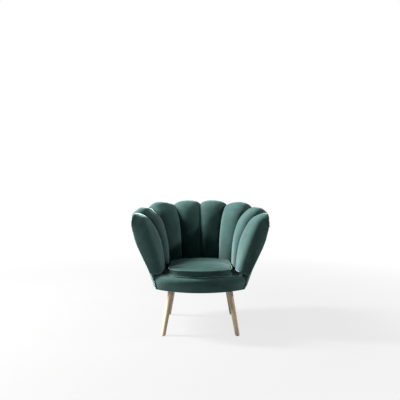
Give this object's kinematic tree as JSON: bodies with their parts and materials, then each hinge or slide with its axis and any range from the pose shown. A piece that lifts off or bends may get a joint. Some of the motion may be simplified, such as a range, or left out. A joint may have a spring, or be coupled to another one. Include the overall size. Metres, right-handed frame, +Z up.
{
  "type": "club chair",
  "caption": "Upholstered club chair: a scalloped bucket of padded petals, a loose boxed seat cushion and splayed, tapered wooden legs.",
  "frame": {"origin": "on the floor under the middle of the chair", "axes": "+X right and +Y back as seen by someone who faces the front of the chair, +Z up"},
  "size_m": [0.8712, 0.7381, 0.7836],
  "materials": {
    "velvet": "green short-pile velvet",
    "leg_wood": "pale beech, satin lacquer",
    "plywood": "raw plywood",
    "panel_board": "thin grey board",
    "foam": "open-cell foam",
    "lining": "black spunbonded cloth",
    "webbing": "woven elastic webbing",
    "zinc_steel": "zinc plated",
    "glide_plastic": "moulded",
    "zip": "coil zip and tape"
  },
  "bodies": {
    "chair": {"arm_front_post_left": "plywood", "arm_front_post_right": "plywood", "base_board_lower": "plywood", "base_board_upper": "plywood", "base_posts": "plywood", "deck_cover": "lining", "deck_foam": "foam", "dust_cover": "lining", "dust_cover_staples": "zinc_steel", "floor_glides": "glide_plastic", "front_band_cover": "velvet", "front_band_foam": "foam", "front_rail": "plywood", "inner_liner_panels": "panel_board", "leg_corner_blocks": "plywood", "leg_front_left": "leg_wood", "leg_front_right": "leg_wood", "leg_hanger_bolts": "zinc_steel", "leg_mounting_plates": "zinc_steel", "leg_plate_screws": "zinc_steel", "leg_rear_left": "leg_wood", "leg_rear_right": "leg_wood", "outer_liner_panels": "panel_board", "outside_arm_cover_left": "velvet", "outside_arm_cover_right": "velvet", "outside_back_cover": "velvet", "outside_welt": "velvet", "petal_cover_left_1": "velvet", "petal_cover_left_2": "velvet", "petal_cover_left_3": "velvet", "petal_cover_left_4": "velvet", "petal_cover_right_1": "velvet", "petal_cover_right_2": "velvet", "petal_cover_right_3": "velvet", "petal_cover_right_4": "velvet", "petal_foam_left_1": "foam", "petal_foam_left_2": "foam", "petal_foam_left_3": "foam", "petal_foam_left_4": "foam", "petal_foam_right_1": "foam", "petal_foam_right_2": "foam", "petal_foam_right_3": "foam", "petal_foam_right_4": "foam", "rib_screws": "zinc_steel", "shell_rib_arm_left": "plywood", "shell_rib_arm_right": "plywood", "shell_rib_back_middle": "plywood", "shell_rib_back_side_left": "plywood", "shell_rib_back_side_right": "plywood", "shell_rib_corner_left": "plywood", "shell_rib_corner_right": "plywood", "top_headers": "plywood", "webbing_crosswise": "webbing", "webbing_lengthwise": "webbing"},
    "seat_cushion": {"cushion_cover": "velvet", "cushion_foam": "foam", "cushion_piping": "velvet", "cushion_zip": "zip"}
  },
  "joints": [
    {"name": "cushion_lift", "type": "slide", "parent": "chair", "child": "seat_cushion", "axis": [0, 0, 1], "range_m": [0, 0.5]}
  ]
}
